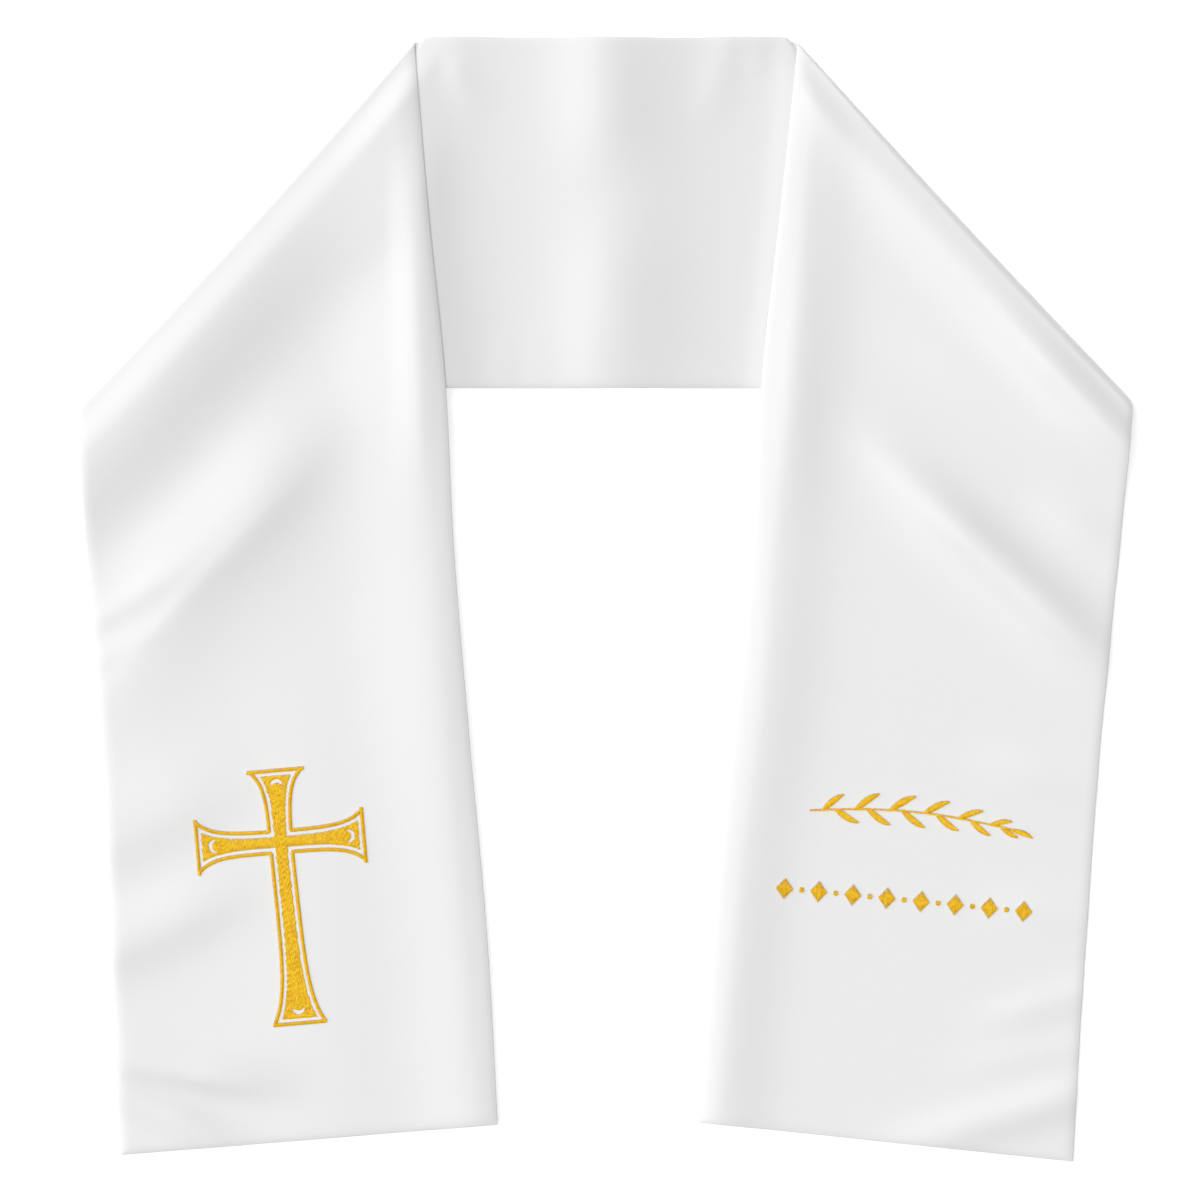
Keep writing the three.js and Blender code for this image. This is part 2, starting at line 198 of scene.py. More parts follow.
turn = {
    "tuckRun": 10.0,  # how far the strip runs on flat under a fold
    "tuckLeast": 0.05,  # share of it that is left at the apex
    "tuckStart": 0.2,  # share of the fold over which it grows from there
    "creaseStart": 12.0,  # a front's own creases begin over this from its fold
    "loft": 1.2,  # how far a front stands off what it lies on where nothing lifts or lowers it
    "dropStart": 1.0,  # below the neck stretch's lower edge
    "dropRun": 60.0,  # how far a front takes to come down off the neck stretch
    # radius of the round fold, at shares of its length from the apex
    "sections": [
        {"at": 0.0, "radius": 0.6},
        {"at": 0.14, "radius": 1.7},
        {"at": 0.4, "radius": 2.9},
        {"at": 0.75, "radius": 3.6},
        {"at": 1.0, "radius": 3.0},
    ],
    # height of the puff beside a turn, as a share of the turn's own, at mm from the turn's top
    "puff": [
        {"at": 0.0, "left": 1, "right": 1},
        {"at": 4.0, "left": 1.06, "right": 1.05},
        {"at": 8.0, "left": 1.1, "right": 0.98},
        {"at": 13.0, "left": 1.09, "right": 0.74},
        {"at": 18.0, "left": 1, "right": 0.46},
        {"at": 24.0, "left": 0.82, "right": 0.22},
        {"at": 30.0, "left": 0.59, "right": 0.1},
        {"at": 36.0, "left": 0.37, "right": 0.04},
        {"at": 42.0, "left": 0.19, "right": 0.01},
        {"at": 48.0, "left": 0.08, "right": 0},
        {"at": 55.0, "left": 0.02, "right": 0},
        {"at": 62.0, "left": 0, "right": 0},
        {"at": 70.0, "left": 0, "right": 0},
    ],
}

# A crease is a soft ridge, or a trough where its height is below 0: from, to, sideways bow, width
# to the left and right of its run where it has fallen to a third, and height.
creaseFade = 0.4  # share of its length over which a crease rises from nothing at each end
neckCreases = [
    # broad soft ridge over the nape
    {"x0": 4, "y0": 330, "x1": 6, "y1": -20, "bow": 0, "left": 26, "right": 24, "height": 3.4},
    {"x0": -3, "y0": 246, "x1": -1, "y1": 156, "bow": 0, "left": 16, "right": 13, "height": 2.2},
    {"x0": 4, "y0": 160, "x1": -4, "y1": 60, "bow": 0, "left": 20, "right": 13, "height": 1.6},
    {"x0": -76, "y0": 280, "x1": -72, "y1": 0, "bow": 0, "left": 20, "right": 12, "height": 1.4},
    # short folds that start at the shoulders
    {"x0": -78, "y0": 238, "x1": -46, "y1": 186, "bow": 0, "left": 7, "right": 5, "height": 0.7},
    {"x0": -58, "y0": 240, "x1": -52, "y1": 170, "bow": 0, "left": 14, "right": 10, "height": 0.3},
    {"x0": 54, "y0": 242, "x1": 38, "y1": 178, "bow": 0, "left": 8, "right": 7, "height": 0.8},
    {"x0": 63, "y0": 240, "x1": 59, "y1": 196, "bow": 0, "left": 5, "right": 5, "height": 0.4},
    {"x0": 78, "y0": 238, "x1": 68, "y1": 188, "bow": 0, "left": 5, "right": 5, "height": 0.5},
    # puckers at the lower edge
    {"x0": -36, "y0": 112, "x1": -43, "y1": 58, "bow": 0, "left": 6, "right": 5, "height": 0.3},
    {"x0": -24, "y0": 114, "x1": -29, "y1": 58, "bow": 0, "left": 6, "right": 5, "height": 0.3},
]
leftFront = {
    "name": "left",
    "side": -1,
    "apex": (-74.1, 217.4),
    "foldAngle": 47.1,
    "foldLength": 192.0,
    "foldBow": 0.7,
    "neckRise": 19.0,  # over this the neck stretch comes up to the front's inner edge
    "hemInner": (-41.5, -204.6),
    "hemOuter": (-188.6, -216.6),
    "edges": [
        {"at": 0.0, "inner": 0.0, "outer": 0.0},
        {"at": 0.15, "inner": 0.5, "outer": 0.3},
        {"at": 0.32, "inner": 2.0, "outer": 1.5},
        {"at": 0.46, "inner": 0.3, "outer": 2.2},
        {"at": 0.64, "inner": 0.6, "outer": 1.7},
        {"at": 0.83, "inner": 1.5, "outer": 0.5},
        {"at": 1.0, "inner": 0.0, "outer": 0.0},
    ],
    "creases": [
        # folds that run down and out from the shoulder
        {"x0": -96, "y0": 84, "x1": -208, "y1": -22, "bow": 3, "left": 15, "right": 20, "height": 4.4},
        {"x0": -94, "y0": 66, "x1": -212, "y1": -64, "bow": -3, "left": 24, "right": 14, "height": 2},
        {"x0": -98, "y0": 66, "x1": -208, "y1": -54, "bow": -3, "left": 14, "right": 5, "height": 0.7},
        {"x0": -160, "y0": 17, "x1": -212, "y1": -18, "bow": 0, "left": 5, "right": 5, "height": 0.6},
        {"x0": -170, "y0": -8, "x1": -212, "y1": -33, "bow": 0, "left": 5, "right": 5, "height": 0.5},
        {"x0": -54, "y0": 186, "x1": -122, "y1": 112, "bow": 0, "left": 14, "right": 16, "height": 1},
        # folds that come in from the outer edge
        {"x0": -130, "y0": -64, "x1": -230, "y1": -112, "bow": 0, "left": 14, "right": 22, "height": 2},
        {"x0": -126, "y0": -106, "x1": -228, "y1": -152, "bow": 0, "left": 12, "right": 16, "height": 2.3},
        {"x0": -110, "y0": -190, "x1": -226, "y1": -168, "bow": 4, "left": 7, "right": 12, "height": 3.4},
        {"x0": -130, "y0": -220, "x1": -226, "y1": -172, "bow": 0, "left": 8, "right": 8, "height": 2.8},
        # swell down the middle, and the long fold beside the inner edge
        {"x0": -124, "y0": 90, "x1": -94, "y1": -360, "bow": 0, "left": 26, "right": 36, "height": 1.5},
        {"x0": -76, "y0": 260, "x1": -73, "y1": 40, "bow": 0, "left": 13, "right": 22, "height": 2.6},
        {"x0": -78, "y0": 250, "x1": -77, "y1": 60, "bow": 0, "left": 8, "right": 5, "height": 0.3},
        {"x0": -76, "y0": 170, "x1": -60, "y1": -140, "bow": 0, "left": 30, "right": 26, "height": 3.2},
        {"x0": -64, "y0": 20, "x1": -38, "y1": -360, "bow": 0, "left": 38, "right": 26, "height": 2.3},
        {"x0": -75, "y0": 150, "x1": -40, "y1": -360, "bow": 0, "left": 8, "right": 12, "height": 0.4},
    ],
}
rightFront = {
    "name": "right",
    "side": 1,
    "apex": (75.2, 217.4),
    "foldAngle": 47.05,
    "foldLength": 190.5,
    "foldBow": 0.9,
    "neckRise": 6.0,
    "hemInner": (36.5, -203.8),
    "hemOuter": (182.7, -219.2),
    "edges": [
        {"at": 0.0, "inner": 0.0, "outer": 0.0},
        {"at": 0.15, "inner": 0.9, "outer": 0.4},
        {"at": 0.31, "inner": 2.1, "outer": 1.4},
        {"at": 0.46, "inner": 0.1, "outer": 2.1},
        {"at": 0.65, "inner": 0.8, "outer": 1.8},
        {"at": 0.83, "inner": 1.3, "outer": 1.2},
        {"at": 1.0, "inner": 0.0, "outer": 0.0},
    ],
    "creases": [
        # folds that run down and out from the shoulder
        {"x0": 146, "y0": 122, "x1": 226, "y1": 36, "bow": 0, "left": 10, "right": 10, "height": 1.6},
        {"x0": 88, "y0": 76, "x1": 228, "y1": -54, "bow": -1, "left": 12, "right": 14, "height": 4},
        {"x0": 92, "y0": 70, "x1": 216, "y1": -44, "bow": -1, "left": 8, "right": 6, "height": 1.7},
        {"x0": 95, "y0": 114, "x1": 224, "y1": 34, "bow": 0, "left": 13, "right": 12, "height": 1.5},
        {"x0": 160, "y0": 44, "x1": 230, "y1": -2, "bow": 0, "left": 9, "right": 9, "height": 1.5},
        {"x0": 166, "y0": 112, "x1": 216, "y1": 56, "bow": 0, "left": 6, "right": 9, "height": 1},
        # folds that come in from the outer edge
        {"x0": 136, "y0": -60, "x1": 224, "y1": -78, "bow": 0, "left": 8, "right": 9, "height": 1.2},
        {"x0": 140, "y0": -116, "x1": 222, "y1": -128, "bow": 0, "left": 8, "right": 9, "height": 1},
        {"x0": 134, "y0": -168, "x1": 218, "y1": -144, "bow": 0, "left": 6, "right": 8, "height": 1.1},
        {"x0": 126, "y0": -184, "x1": 216, "y1": -170, "bow": 0, "left": 7, "right": 7, "height": 0.9},
        {"x0": 96, "y0": -216, "x1": 218, "y1": -180, "bow": -3, "left": 8, "right": 8, "height": 2.2},
        # long fold beside the inner edge
        {"x0": 88, "y0": 300, "x1": 73, "y1": 20, "bow": 0, "left": 14, "right": 9, "height": 1.8},
        {"x0": 77, "y0": 150, "x1": 58, "y1": -120, "bow": 0, "left": 16, "right": 12, "height": 2.3},
        {"x0": 63, "y0": 10, "x1": 31, "y1": -360, "bow": 0, "left": 15, "right": 12, "height": 2.4},
    ],
}


def ease(share):
    s = np.clip(share, 0.0, 1.0)
    return s * s * (3 - 2 * s)


def mix(low, high, share):
    return low + (high - low) * share


def readColumn(sections, column, at):
    # smooth curve through the rows of a table, with each row's slope from its neighbours
    places = np.array([row["at"] for row in sections])
    values = np.array([row[column] for row in sections], float)
    slopes = np.gradient(values, places)
    k = np.clip(np.searchsorted(places, at) - 1, 0, len(places) - 2)
    span = places[k + 1] - places[k]
    s = np.clip((at - places[k]) / span, 0, 1)
    low = values[k] * (1 + 2 * s) * (1 - s) ** 2 + slopes[k] * span * s * (1 - s) ** 2
    high = values[k + 1] * s * s * (3 - 2 * s) - slopes[k + 1] * span * s * s * (1 - s)
    return low + high


def settle(height):
    # a trough flattens out softly where it comes down on what is under it
    softness = strip["settleSoftness"]
    return softness * np.logaddexp(0, height / softness)


def creaseHeight(creases, x, y):
    height = np.zeros(np.shape(x))
    for crease in creases:
        run = (crease["x1"] - crease["x0"], crease["y1"] - crease["y0"])
        length = math.hypot(*run)
        dx, dy = x - crease["x0"], y - crease["y0"]
        along = np.clip((dx * run[0] + dy * run[1]) / length ** 2, 0, 1)
        across = (run[0] * dy - run[1] * dx) / length - crease["bow"] * np.sin(np.pi * along)
        width = np.where(across > 0, crease["left"], crease["right"])
        reach = ease(np.minimum(along, 1 - along) / creaseFade)
        height = height + crease["height"] * reach * np.exp(-(across / width) ** 2)
    return height


def neckLowerEdge(x):
    fall = ease((np.abs(x) - neck["visibleHalf"]) / neck["fallRun"])
    return neck["bottom"] - neck["hiddenDrop"] * fall


def neckRelief(x, y):
    # loft and creases of the neck stretch, which lies down under the fronts and beside their tops
    fade = neck["creaseFade"]
    shown = ease((neck["visibleHalf"] + fade - np.abs(x)) / fade)
    for front in (leftFront, rightFront):
        fromApex = np.hypot(x - front["apex"][0], y - front["apex"][1])
        shown = shown * ease(fromApex / neck["apexRun"])
    return shown * settle(neck["loft"] + creaseHeight(neckCreases, x, y))


def supportHeight(x, y):
    # what a front lies on: the neck stretch, and below its lower edge the table
    below = (neckLowerEdge(x) - turn["dropStart"] - y) / turn["dropRun"]
    return (1 - ease(below)) * (strip["wall"] + strip["layGap"] + neckRelief(x, y))


def foldFrame(front):
    # the fold's own directions, and how far a row slips along it for each mm away from it
    angle = math.radians(front["foldAngle"])
    along = (front["side"] * math.cos(angle), -math.sin(angle))
    inward = (-front["side"] * math.sin(angle), -math.cos(angle))
    return along, inward, 1 / math.tan(angle)


def fromFold(front, distanceAlong, distanceIn, z):
    along, inward, _ = foldFrame(front)
    x = front["apex"][0] + along[0] * distanceAlong + inward[0] * distanceIn
    y = front["apex"][1] + along[1] * distanceAlong + inward[1] * distanceIn
    return np.stack([x, y, z + np.zeros_like(x)], axis=-1)


def foldBow(front, across):
    return front["foldBow"] * np.sin(np.pi * across)


def turnRow(front, across, angle):
    radius = readColumn(turn["sections"], "radius", across)
    slant = foldFrame(front)[2]
    half = strip["wall"] / 2
    distanceIn = foldBow(front, across) + half + radius * (1 - math.cos(angle))
    return fromFold(front, across * front["foldLength"] + slant * radius * angle, distanceIn,
                    half + radius * (1 + math.sin(angle)))


def tuckRow(front, across, share):
    radius = readColumn(turn["sections"], "radius", across)
    slant = foldFrame(front)[2]
    half = strip["wall"] / 2
    run = turn["tuckRun"] * mix(turn["tuckLeast"], 1, ease(across / turn["tuckStart"])) * share
    return fromFold(front, across * front["foldLength"] - slant * (radius * math.pi / 2 + run),
                    foldBow(front, across) + half + radius + run, half)


def fromInnerEdge(front, x, y):
    run = (front["hemInner"][0] - front["apex"][0], front["hemInner"][1] - front["apex"][1])
    dx, dy = x - front["apex"][0], y - front["apex"][1]
    return front["side"] * (run[0] * dy - run[1] * dx) / math.hypot(*run)


def innerShare(front, x, y):
    # a front's relief is a little lower along its inner edge
    return mix(strip["edgeLeast"], 1, ease(fromInnerEdge(front, x, y) / strip["edgeRun"]))


def frontParts(front, x, y):
    # what a front lies on, the puff of its turn over that, and how far its own creases have begun
    along, inward, slant = foldFrame(front)
    dx, dy = x - front["apex"][0], y - front["apex"][1]
    distanceIn = dx * inward[0] + dy * inward[1]
    distanceAlong = dx * along[0] + dy * along[1]
    across = np.clip((distanceAlong - slant * distanceIn) / front["foldLength"], 0, 1)
    radius = readColumn(turn["sections"], "radius", across)
    beyond = np.maximum(0, distanceIn - foldBow(front, across) - strip["wall"] / 2 - radius)
    support = supportHeight(x, y)
    puff = (2 * radius - support) * readColumn(turn["puff"], front["name"], beyond)
    return support, puff, ease(beyond / turn["creaseStart"])


def frontHeight(front, x, y):
    support, puff, begun = frontParts(front, x, y)
    relief = turn["loft"] + creaseHeight(front["creases"], x, y)
    lift = settle(puff + begun * innerShare(front, x, y) * relief)
    return strip["wall"] / 2 + support + lift


def frontRow(front, across, down):
    start = turnRow(front, across, math.pi / 2)
    ends = turnRow(front, np.array([0.0, 1.0]), math.pi / 2)
    edges = []
    for end, hem, column in zip(ends, (front["hemInner"], front["hemOuter"]), ("inner", "outer")):
        sway = readColumn(front["edges"], column, down)
        edges.append((mix(end[0], hem[0], down) - front["side"] * sway, mix(end[1], hem[1], down)))
    swing = (1 - down) ** 2  # how much of the fold's bow is left this far down
    places = []
    for k in (0, 1):
        bow = start[:, k] - mix(ends[0][k], ends[1][k], across)
        places.append(mix(edges[0][k], edges[1][k], across) + swing * bow)
    x, y = places
    return np.stack([x, y, frontHeight(front, x, y)], axis=-1)


def neckRow(across, over):
    start, end = tuckRow(leftFront, across, 1), tuckRow(rightFront, across, 1)
    x = mix(start[:, 0], end[:, 0], over)
    fromShoulder = (np.abs(x) - neck["shoulderX"]) / neck["shoulderRun"]
    upper = neck["top"] + neck["shoulderRise"] * np.exp(-fromShoulder ** 2)
    inside = ease(min(over, 1 - over) / neck["shoulderShare"])
    y = mix(mix(start[:, 1], end[:, 1], over), mix(upper, neckLowerEdge(x), across), inside)
    height = strip["wall"] / 2 + inside * neckRelief(x, y)
    for front in (leftFront, rightFront):
        # the neck stretch comes up to the underside of each front along its inner edge
        room = frontHeight(front, x, y) - strip["wall"] - strip["layGap"] - height
        near = np.exp(-(fromInnerEdge(front, x, y) / front["neckRise"]) ** 2)
        height = height + inside * near * np.maximum(0, room)
    return np.stack([x, y, height], axis=-1)


def acrossPlaces():
    steps = np.array(strip["edgeSteps"]) / strip["width"]
    middle = np.linspace(steps[-1], 1 - steps[-1], strip["columns"])
    return np.concatenate([steps[:-1], middle, 1 - steps[:-1][::-1]])


def hemPlaces(count):
    # shares down a front, with rows close together at the hem so that it can be rounded
    length = math.dist(leftFront["apex"], leftFront["hemInner"])
    steps = np.array(strip["edgeSteps"]) / length
    return np.concatenate([np.linspace(0, 1 - steps[-1], count)[1:], 1 - steps[:-1][::-1]])


def stripRows(across):
    down = hemPlaces(strip["frontRows"])
    angles = np.linspace(-math.pi / 2, math.pi / 2, strip["turnRows"] + 1)
    tucks = np.linspace(0, 1, strip["tuckRows"] + 1)[1:]
    rows = [frontRow(leftFront, across, d) for d in down[::-1]]
    rows += [turnRow(leftFront, across, a) for a in angles[::-1]]
    rows += [tuckRow(leftFront, across, t) for t in tucks]
    rows += [neckRow(across, over) for over in np.linspace(0, 1, strip["neckRows"] + 1)[1:-1]]
    rows += [tuckRow(rightFront, across, t) for t in tucks[::-1]]
    rows += [turnRow(rightFront, across, a) for a in angles]
    rows += [frontRow(rightFront, across, d) for d in down]
    return np.array(rows)


def roundedShare(edgeDistance):
    # share of the half thickness that is left at a distance from an edge
    return np.sqrt(np.clip(edgeDistance / strip["edgeRound"], 0, 1))


def finishPiece(bm, name, materials, standsFor=()):
    mesh = bpy.data.meshes.new(name)
    bm.to_mesh(mesh)
    bm.free()
    for material in materials:
        mesh.materials.append(material)
    mesh.polygons.foreach_set("use_smooth", [True] * len(mesh.polygons))
    obj = bpy.data.objects.new(name, mesh)
    scene.collection.objects.link(obj)
    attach(obj, "root")
    if standsFor:
        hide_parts(*standsFor)
    return obj


def addClothFace(bm, uvLayer, places, uvs, materialIndex):
    # a grid with its corners moved to the given places
    rowCount, columnCount = places.shape[:2]
    grid = bmesh.ops.create_grid(
        bm, x_segments=columnCount - 1, y_segments=rowCount - 1, size=0.5)["verts"]
    uvOf = {}
    for k, vert in enumerate(grid):
        j, i = divmod(k, columnCount)
        vert.co = places[j, i] * mm
        uvOf[vert] = uvs[j, i] * mm
    faces = {face for vert in grid for face in vert.link_faces}
    for face in faces:
        face.material_index = materialIndex
        for loop in face.loops:
            loop[uvLayer].uv = uvOf[loop.vert]
    return faces


def makeStrip():
    across = acrossPlaces()
    middle = stripRows(across)
    alongStep = np.linalg.norm(np.diff(middle, axis=0), axis=2).mean(axis=1)
    lengthwise = np.concatenate([[0], np.cumsum(alongStep)])
    fromSide = np.minimum(across, 1 - across) * strip["width"]
    fromHem = np.minimum(lengthwise, lengthwise[-1] - lengthwise)
    half = strip["wall"] / 2 * roundedShare(fromSide)[None, :] * roundedShare(fromHem)[:, None]
    middle[:, :, 2] -= strip["wall"] / 2 - half  # an edge thins out from above and lies down
    normal = np.cross(np.gradient(middle, axis=1), np.gradient(middle, axis=0))
    offset = half[:, :, None] * normal / np.linalg.norm(normal, axis=2, keepdims=True)
    uvs = np.stack(np.meshgrid(across * strip["width"], lengthwise), axis=-1)
    bm = bmesh.new()
    uvLayer = bm.loops.layers.uv.new("clothUv")
    addClothFace(bm, uvLayer, middle + offset, uvs, 1)
    satinFaces = addClothFace(bm, uvLayer, middle - offset, uvs, 0)
    bmesh.ops.reverse_faces(bm, faces=list(satinFaces))
    bmesh.ops.remove_doubles(bm, verts=bm.verts, dist=strip["weld"] * mm)
    piece = finishPiece(bm, "satinStrip", [satinMaterial(), liningMaterial()],
                        ("neck_band", "left_front_panel", "right_front_panel"))
    print("strip:", len(across), "columns,", len(lengthwise), "rows,",
          round(lengthwise[-1]), "mm long")


# Materials of the cloth and the thread

satin = {
    "faceColour": "#E8E8E8",
    "faceRoughness": 0.36,
    "faceSpecular": 0.5,
    "liningColour": "#E6E6E6",
    "liningRoughness": 0.5,
    "liningSpecular": 0.3,
    "sheen": 0.1,
    "sheenRoughness": 0.4,
    "weavePitch": 0.9,  # mm, some five threads drawn as one
    "weaveRelief": 0.02,  # mm
    "weaveStrength": 0.5,
}
thread = {
    "colour": "#F3C81A",
    "shadeColour": "#E9B20C",
    "roughness": 0.4,
    "specular": 0.35,
    "toneSpot": 1.4,  # mm, size of the spots where the thread lies lighter or darker
    "toneStops": (0.35, 0.6),  # where the shade ends and the full colour begins
}


def weaveRelief(tree):
    # crossing threads of the weave, from the cloth's own lengths across and along
    cloth = addNode(tree, "ShaderNodeUVMap", {"uv_map": "clothUv"})
    waveRepeat = 2 * math.pi / 20  # of the wave texture at a scale of 1
    scale = waveRepeat / (satin["weavePitch"] * mm)
    bands = [addNode(tree, "ShaderNodeTexWave", {"bands_direction": direction}, {
        "Vector": cloth.outputs["UV"], "Scale": scale, "Distortion": 0.0}) for direction in "XY"]
    knots = addNode(tree, "ShaderNodeMath", {"operation": "MULTIPLY"}, {
        0: bands[0].outputs["Fac"], 1: bands[1].outputs["Fac"]})
    return addNode(tree, "ShaderNodeBump", inputs={
        "Height": knots.outputs[0], "Strength": satin["weaveStrength"],
        "Distance": satin["weaveRelief"] * mm})


def clothMaterial(name, colour, roughness, specular):
    material, tree = newMaterial(name)
    shader = addNode(tree, "ShaderNodeBsdfPrincipled", inputs={
        "Base Color": linearColour(colour), "Roughness": roughness, "Specular IOR Level": specular,
        "Sheen Weight": satin["sheen"], "Sheen Roughness": satin["sheenRoughness"],
        "Normal": weaveRelief(tree).outputs["Normal"]})
    finishMaterial(tree, shader)
    return material


def satinMaterial():
    # duchess satin in white polyester: smooth floats that glow on a fold and go grey in a hollow
    return clothMaterial("whitePolyesterSatin", satin["faceColour"], satin["faceRoughness"],
                         satin["faceSpecular"])


def liningMaterial():
    # the strip's other side, a plainer satin lining: a little greyer, with less gloss
    return clothMaterial("whiteSatinLining", satin["liningColour"], satin["liningRoughness"],
                         satin["liningSpecular"])


def threadMaterial():
    # rayon embroidery thread in gold yellow: bright along each stitch, deeper gold between stitches
    material, tree = newMaterial("goldRayonThread")
    coordinates = addNode(tree, "ShaderNodeTexCoord")
    spots = addNode(tree, "ShaderNodeTexNoise", inputs={
        "Vector": coordinates.outputs["Object"], "Scale": 1 / (thread["toneSpot"] * mm),
        "Detail": 1.0})
    tone = addNode(tree, "ShaderNodeValToRGB", inputs={"Fac": spots.outputs["Fac"]})
    colours = (thread["shadeColour"], thread["colour"])
    for stop, at, colour in zip(tone.color_ramp.elements, thread["toneStops"], colours):
        stop.position = at
        stop.color = linearColour(colour)
    finishMaterial(tree, addNode(tree, "ShaderNodeBsdfPrincipled", inputs={
        "Base Color": tone.outputs["Color"], "Roughness": thread["roughness"],
        "Specular IOR Level": thread["specular"]}))
    return material


makeStrip()


# Embroidery: every stitch is a slim grain of thread, with its underside in the satin

stitch = {
    "width": 0.52,  # mm, wide enough to overlap the next one
    "pitch": 0.42,  # mm, the distance between stitches that this width suits
    "leastHalf": 0.15,  # mm, no stitch is sewn where half of a column is narrower
    "lookAhead": 0.3,  # mm along a path to each side, over which its direction is read
    "sides": 6,
    "rings": 5,
    "lot": 40,  # stitches that are made at a time
}
# half of a stitch's height, how high its axis is over the satin, and how uneven its ends are, mm
columnStitch = {"halfHeight": 0.42, "lift": 0.3, "unevenness": 0.05}  # padded, side by side
fillStitch = {"halfHeight": 0.3, "lift": 0.24, "unevenness": 0.1}  # flatter, end to end


def clothTop(front, x, y):
    return float(frontHeight(front, x, y)) + strip["wall"] / 2


def addStitch(stitches, kind, front, start, end, width, jitter):
    # start and end are (x, y) in mm, and width is a share of the plain stitch's
    ends = []
    for x, y in (start, end):
        x += jitter.uniform(-1, 1) * kind["unevenness"]
        y += jitter.uniform(-1, 1) * kind["unevenness"]
        ends.append(Vector((x, y, clothTop(front, x, y) + kind["lift"])) * mm)
    run = ends[1] - ends[0]
    along = run.normalized()
    side = along.cross(Vector((0, 0, 1))).normalized()
    up = side.cross(along)
    turnTo = Matrix((side, up, along)).transposed().to_4x4()
    halfWidth = stitch["width"] / 2 * width * mm
    size = Matrix.Diagonal((halfWidth, kind["halfHeight"] * mm, run.length / 2, 1))
    stitches.append(Matrix.Translation((ends[0] + ends[1]) / 2) @ turnTo @ size)


def sewPiece(stitches, name, material, standsFor=()):
    # grains are made in small lots, which join the piece one lot at a time
    bm = bmesh.new()
    lot = bmesh.new()
    lotMesh = bpy.data.meshes.new("stitchLot")
    for first in range(0, len(stitches), stitch["lot"]):
        for placed in stitches[first:first + stitch["lot"]]:
            bmesh.ops.create_uvsphere(lot, u_segments=stitch["sides"], v_segments=stitch["rings"],
                                      radius=1, matrix=placed)
        lot.to_mesh(lotMesh)
        bm.from_mesh(lotMesh)
        lot.clear()
    lot.free()
    bpy.data.meshes.remove(lotMesh)
    finishPiece(bm, name, [material], standsFor)
    print(name + ":", len(stitches), "stitches")


# Cross: half widths and reaches are of the outline's outer edge, from the crossing, in mm

cross = {
    "place": (-126.2, -94.3),
    "tilt": 5.0,  # it leans with the left front
    "armHalf": 4.8,
    "outlineWidth": 1.35,
    "outlineSpread": 0.25,  # the stitches are longer than the outline's width by this
    "outlinePitch": 0.46,
    "outlineSlant": 12.0,  # degrees
    "outlineSeed": 11,
    "pathPoints": 60,  # along each side of an arm
    "tipInset": 0.8,  # from the outer corner of an arm's end to where its two outlines cross
    "fillInset": 2.55,
    "fillPitch": 0.46,  # between lines of fill stitches
    "fillWidth": 1.35,  # of a stitch, as a share of the plain one's
    "fillSlant": 7.0,  # degrees, of the lines to the cross's upright
    "fillStitch": 2.1,  # longest piece of a line
    "fillWholeLine": 5.6,  # lines up to this long are one stitch
    "fillLeast": 0.5,  # shorter lines are left out
    "fillOffsets": (0.0, 0.5, 0.25, 0.75),  # of the stitches' ends from one line to the next
    "fillEndShare": 0.15,  # a line has no end of a stitch nearer to its own ends, in stitches
    "fillLap": 0.25,  # how far a stitch runs over the next one in its line
    "fillBack": 1.0,  # how far an arm's fill reaches back over the crossing
    "fillReach": (-90.0, 50.0),  # where the lines begin and end, from the crossing
    "fillHalf": 42.0,  # how far they go to each side of it
    "fillStep": 0.05,  # how finely the place of a line's ends is found
    "fillSeed": 5,
    "crescentRadius": 2.45,
    "crescentInnerRadius": 2.4,
    "crescentShift": 1.35,
    "arms": [
        {"turn": 0, "reach": 71.7, "endHalf": 11.2, "flare": 10.0, "lean": 0.02, "crescent": 6.7},
        {"turn": 90, "reach": 33.0, "endHalf": 11.5, "flare": 5.6, "lean": 0.0, "crescent": 6.6},
        {"turn": 180, "reach": 28.5, "endHalf": 11.9, "flare": 5.6, "lean": -0.007, "crescent": 6.4},
        {"turn": 270, "reach": 33.3, "endHalf": 11.5, "flare": 5.4, "lean": -0.02, "crescent": 7.4},
    ],
}


def armHalfWidth(arm, out, inset=0.0):
    flared = (arm["endHalf"] - cross["armHalf"]) * np.exp((out - arm["reach"]) / arm["flare"])
    return cross["armHalf"] + flared - inset * np.hypot(1, flared / arm["flare"])


def armLean(arm, out):
    return arm["lean"] * np.maximum(0, out - cross["armHalf"])


def fromArm(arm, out, over):
    angle = math.radians(cross["tilt"] + arm["turn"])
    side = over + armLean(arm, out)
    return (cross["place"][0] + out * math.sin(angle) + side * math.cos(angle),
            cross["place"][1] - out * math.cos(angle) + side * math.sin(angle))


def toArm(arm, x, y):
    angle = math.radians(cross["tilt"] + arm["turn"])
    dx, dy = x - cross["place"][0], y - cross["place"][1]
    out = dx * math.sin(angle) - dy * math.cos(angle)
    return out, dx * math.cos(angle) + dy * math.sin(angle) - armLean(arm, out)


def outlinePath(inset):
    # the outline's line at an inset from its outer edge, round all four arms
    path = []
    corner = cross["armHalf"] - inset
    for arm in cross["arms"]:
        outs = np.linspace(corner, arm["reach"] - inset, cross["pathPoints"])
        halves = np.maximum(armHalfWidth(arm, outs, inset), corner)
        halves[0] = corner  # where the next arm's outline starts
        tip = arm["endHalf"] - cross["tipInset"]
        path += [fromArm(arm, out, -half) for out, half in zip(outs[1:], halves[1:])]
        path += [fromArm(arm, outs[-1], side * tip) for side in (-1, 1)]
        path += [fromArm(arm, out, half) for out, half in zip(outs[::-1], halves[::-1])]
    return np.array(path)


